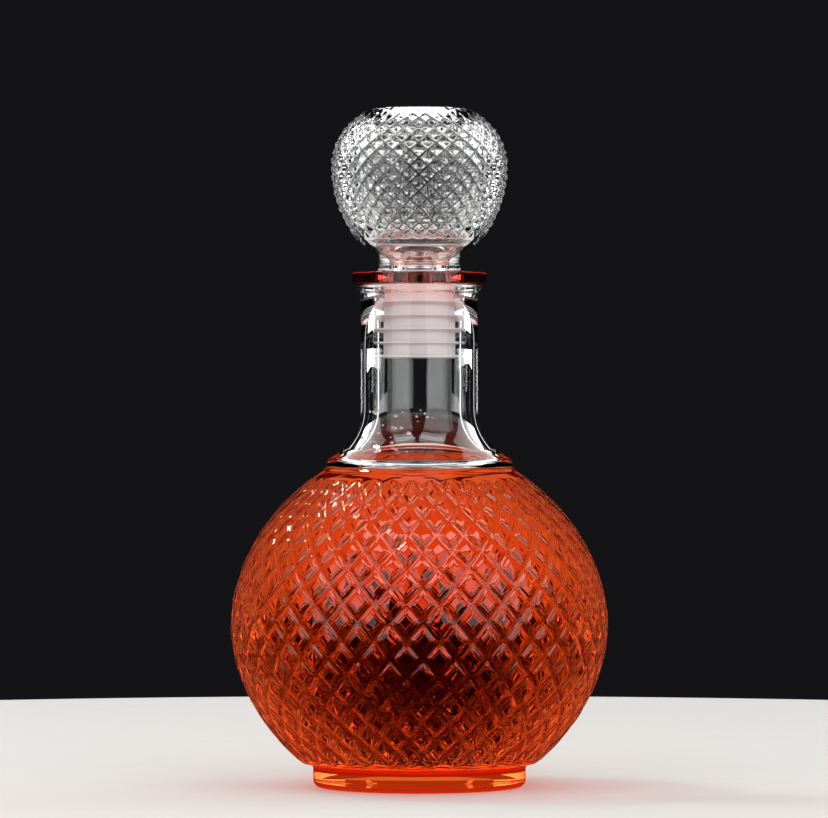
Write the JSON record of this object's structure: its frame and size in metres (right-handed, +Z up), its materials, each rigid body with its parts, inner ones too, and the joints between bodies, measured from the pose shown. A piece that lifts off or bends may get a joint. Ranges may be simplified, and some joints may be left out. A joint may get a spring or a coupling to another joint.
{
  "type": "glass bottle",
  "caption": "Round glass decanter with a moulded diamond relief, filled with an orange-red drink and closed by a hollow glass ball stopper on a ribbed plastic sleeve.",
  "frame": {"origin": "centre of the foot's underside, in the plane it stands on", "axes": "+Z up along the axis of the bottle and the stopper"},
  "size_m": [0.14, 0.14, 0.2514],
  "materials": {
    "bottle_glass": "clear, polished, moulded diamonds",
    "drink": "clear orange-red liquid",
    "sleeve_plastic": "translucent, faintly rose, satin",
    "stopper_glass": "clear, polished, pointed diamonds"
  },
  "bodies": {
    "bottle": {"bottle_glass": "bottle_glass", "drink": "drink"},
    "stopper": {"stopper_sleeve": "sleeve_plastic", "stopper_head": "stopper_glass"}
  },
  "joints": [
    {"name": "stopper_lift", "type": "slide", "parent": "bottle", "child": "stopper", "axis": [0, 0, 1], "range_m": [0, 0.05]}
  ]
}
